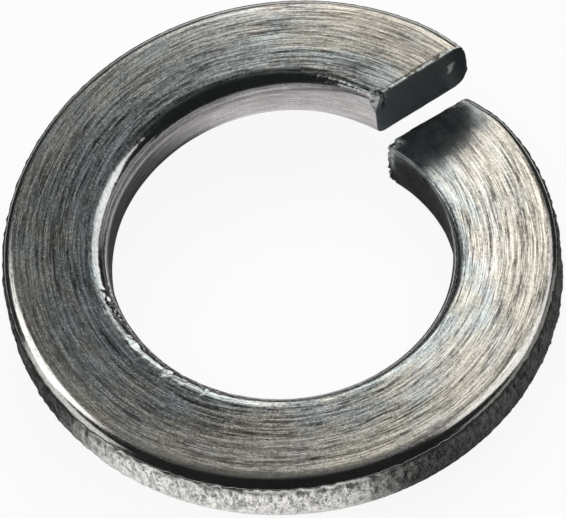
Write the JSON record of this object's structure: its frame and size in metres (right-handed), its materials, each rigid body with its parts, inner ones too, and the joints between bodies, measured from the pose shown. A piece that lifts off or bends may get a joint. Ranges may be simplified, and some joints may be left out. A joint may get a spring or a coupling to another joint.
{
  "type": "spring lock washer",
  "caption": "Split spring lock washer of rounded flat wire, coiled into a left-hand turn with sheared, offset ends, in bare worn steel.",
  "frame": {"origin": "on the bore's axis, level with the lowest edge of the lower end", "axes": "+Z along the bore's axis towards the raised end; the split is at +X, and the wire climbs clockwise seen from above"},
  "size_m": [0.0204, 0.0204, 0.0053],
  "materials": {
    "worn_steel": "concentric fine scratches, mottled and darkened, with bright worn edges"
  },
  "bodies": {
    "root": {"lock_washer": "worn_steel"}
  },
  "joints": []
}
